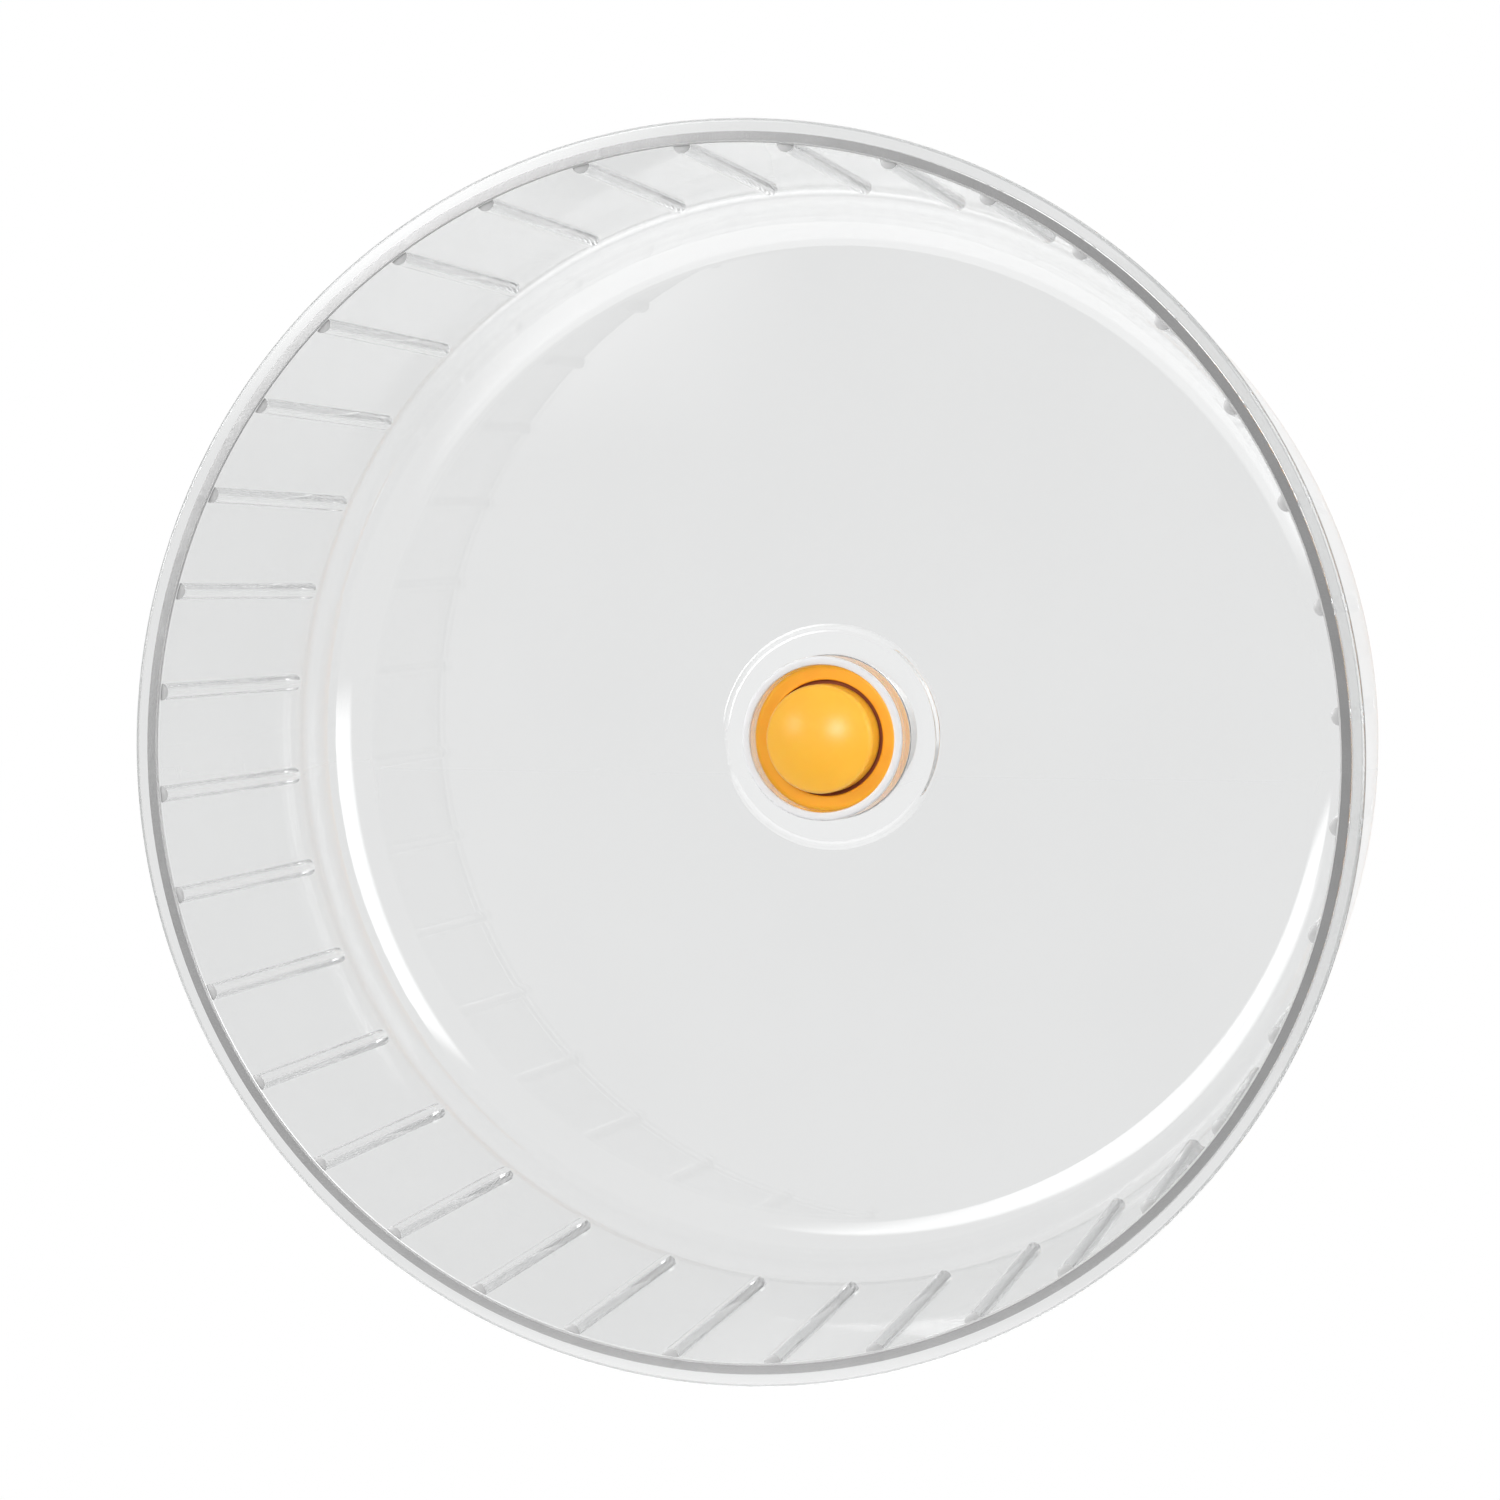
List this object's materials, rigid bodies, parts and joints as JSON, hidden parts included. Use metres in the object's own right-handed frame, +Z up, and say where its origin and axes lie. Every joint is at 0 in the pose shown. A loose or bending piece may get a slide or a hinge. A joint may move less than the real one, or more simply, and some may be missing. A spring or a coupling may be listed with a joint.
{
  "type": "hamster wheel",
  "caption": "Clear drum running wheel for a small pet, open at the front, with half-round ribs on its tread and an orange domed hub that spins on a fixed axle with ball bearings.",
  "frame": {"origin": "on the wheel's axis, at the root of the axle's free tail, level with the rear face of the collar that meets the wall or stand", "axes": "+Y along the axle to the rear, the way the tail points; the drum's open front faces -Y; +Z up; +X to the right seen from the open front"},
  "size_m": [0.21, 0.119, 0.21],
  "materials": {
    "clear_plastic": "clear polished moulding",
    "orange_plastic": "moulded, semi gloss",
    "cap_plastic": "moulded, semi gloss",
    "bearing_steel": "ground",
    "plated_steel": "zinc plated",
    "spring_steel": "dark spring steel",
    "seal_rubber": "moulded",
    "cage_plastic": "moulded nylon"
  },
  "bodies": {
    "axle": {"axle_bolt": "plated_steel", "hub_cap": "cap_plastic", "front_shim": "plated_steel", "front_inner_race": "bearing_steel", "inner_spacer": "plated_steel", "rear_inner_race": "bearing_steel", "rear_shim": "plated_steel", "lock_nut": "plated_steel", "rear_collar": "orange_plastic"},
    "wheel": {"drum": "clear_plastic", "hub_bush": "orange_plastic", "bush_lock_washer": "spring_steel", "front_outer_race": "bearing_steel", "outer_spacer": "plated_steel", "rear_outer_race": "bearing_steel", "bearing_circlip": "spring_steel", "front_bearing_front_seal": "seal_rubber", "front_bearing_rear_seal": "seal_rubber", "rear_bearing_front_seal": "seal_rubber", "rear_bearing_rear_seal": "seal_rubber"},
    "front_cage": {"front_ball_cage": "cage_plastic", "front_balls": "bearing_steel"},
    "rear_cage": {"rear_ball_cage": "cage_plastic", "rear_balls": "bearing_steel"}
  },
  "joints": [
    {"name": "wheel_spin", "type": "hinge", "parent": "axle", "child": "wheel", "pos_m": [0, 0, 0], "axis": [0, 1, 0], "continuous": true},
    {"name": "front_cage_spin", "type": "hinge", "parent": "axle", "child": "front_cage", "pos_m": [0, 0, 0], "axis": [0, 1, 0], "continuous": true},
    {"name": "rear_cage_spin", "type": "hinge", "parent": "axle", "child": "rear_cage", "pos_m": [0, 0, 0], "axis": [0, 1, 0], "continuous": true}
  ],
  "couplings": [
    {"joint": "front_cage_spin", "follows": "wheel_spin", "ratio": 0.6323},
    {"joint": "rear_cage_spin", "follows": "wheel_spin", "ratio": 0.6323}
  ]
}
